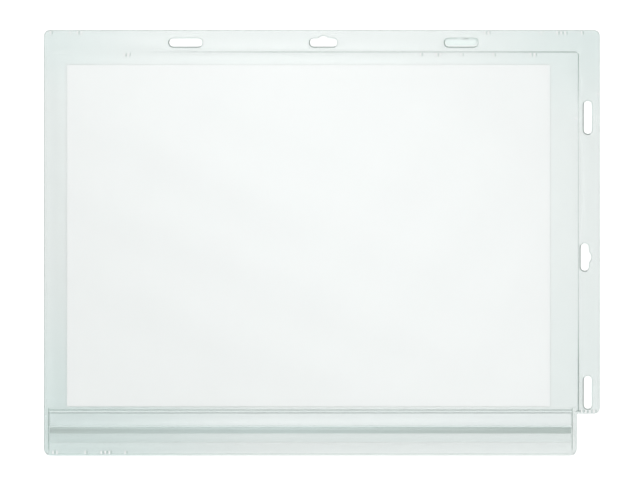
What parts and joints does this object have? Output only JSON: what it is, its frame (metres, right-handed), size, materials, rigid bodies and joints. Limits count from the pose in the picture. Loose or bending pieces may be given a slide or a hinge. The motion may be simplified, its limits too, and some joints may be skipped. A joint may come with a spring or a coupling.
{
  "type": "waterproof document pocket",
  "caption": "Clear waterproof document pocket with a press-to-close zip along its lower edge and a welded border with punched hanging slots along the top and side, holding a blank sheet.",
  "frame": {"origin": "centre of the outline's bounding box, on the back face that the pocket lies on", "axes": "+X along the long side towards the side border, +Y from the zip towards the top border, +Z out of the front"},
  "size_m": [0.3416, 0.2616, 0.0025],
  "materials": {
    "clear_film": "clear soft PVC film, faintly green, calendered glossy",
    "zip_plastic": "clear extruded soft PVC, slightly darker where it is thick",
    "white_paper": "plain uncoated white office paper"
  },
  "bodies": {
    "root": {"back_film": "clear_film", "front_film": "clear_film", "zip_rib_strip": "zip_plastic", "zip_groove_strip": "zip_plastic", "paper_insert": "white_paper"}
  },
  "joints": []
}
